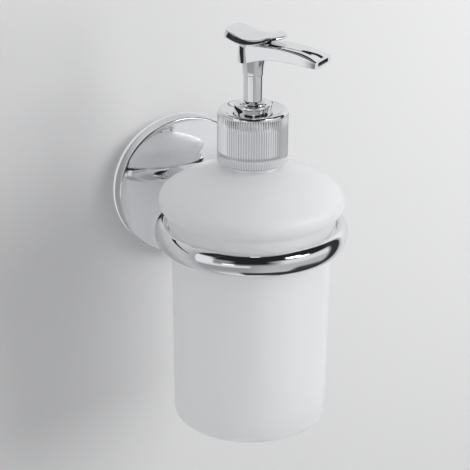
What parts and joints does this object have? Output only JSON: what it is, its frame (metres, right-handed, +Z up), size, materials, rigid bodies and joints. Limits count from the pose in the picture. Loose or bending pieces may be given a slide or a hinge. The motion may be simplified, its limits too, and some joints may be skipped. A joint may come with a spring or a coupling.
{
  "type": "wall mounted soap dispenser",
  "caption": "Wall mounted soap dispenser: frosted glass bottle hanging by its shoulder in a chrome ring on a domed rosette, with a knurled collar and a push-down pump.",
  "frame": {"origin": "centre of the rosette's back face, on the wall", "axes": "+Y into the wall, -Y out of the wall towards the user, +Z up, +X to the right of someone facing the wall"},
  "size_m": [0.0884, 0.1242, 0.1868],
  "materials": {
    "chrome": "polished chrome plate",
    "frosted_glass": "acid-etched, satin outside",
    "zinc_steel": "zinc plated",
    "steel": "stainless, as drawn",
    "white_plastic": "moulded polypropylene",
    "tube_plastic": "natural polyethylene tube",
    "dark_plastic": "moulded, dark",
    "seal": "soft, satin"
  },
  "bodies": {
    "bracket": {"wall_plate": "zinc_steel", "rosette": "chrome", "rosette_grub_screw": "steel", "arm": "chrome", "arm_screw": "steel", "arm_washer": "steel", "holder_ring": "chrome"},
    "bottle": {"bottle": "frosted_glass"},
    "pump": {"neck_gasket": "seal", "pump_cylinder": "white_plastic", "stem_guide": "chrome", "inlet_seat": "white_plastic", "dip_tube": "tube_plastic", "return_spring": "steel"},
    "collar": {"collar_shell": "chrome", "collar_cap": "white_plastic"},
    "plunger": {"piston": "white_plastic", "piston_seal": "seal"},
    "head": {"stem": "chrome", "outlet_seat": "white_plastic", "actuator_head": "chrome", "nozzle_insert": "dark_plastic"},
    "inlet_ball": {"inlet_ball": "steel"},
    "outlet_ball": {"outlet_ball": "steel"}
  },
  "joints": [
    {"name": "bottle_lift", "type": "slide", "parent": "bracket", "child": "bottle", "axis": [0, 0, 1], "range_m": [0, 0.11]},
    {"name": "pump_rise", "type": "slide", "parent": "bottle", "child": "pump", "axis": [0, 0, 1], "range_m": [0, 0.00636]},
    {"name": "collar_turn", "type": "hinge", "parent": "pump", "child": "collar", "pos_m": [0, -0.08, 0.048], "axis": [0, 0, 1], "range_deg": [0, 540]},
    {"name": "head_press", "type": "slide", "parent": "pump", "child": "plunger", "axis": [0, 0, 1], "range_m": [-0.01, 0], "stiffness_N_per_m": 250, "springref_m": 0.006, "deforming": ["return_spring"]},
    {"name": "head_turn", "type": "hinge", "parent": "plunger", "child": "head", "pos_m": [0, -0.08, 0.08], "axis": [0, 0, 1], "continuous": true},
    {"name": "inlet_valve", "type": "slide", "parent": "pump", "child": "inlet_ball", "axis": [0, 0, 1], "range_m": [0, 0.0015]},
    {"name": "outlet_valve", "type": "slide", "parent": "head", "child": "outlet_ball", "axis": [0, 0, 1], "range_m": [0, 0.0015]}
  ],
  "couplings": [
    {"joint": "pump_rise", "follows": "collar_turn", "m_per_rad": 0.00067375}
  ]
}
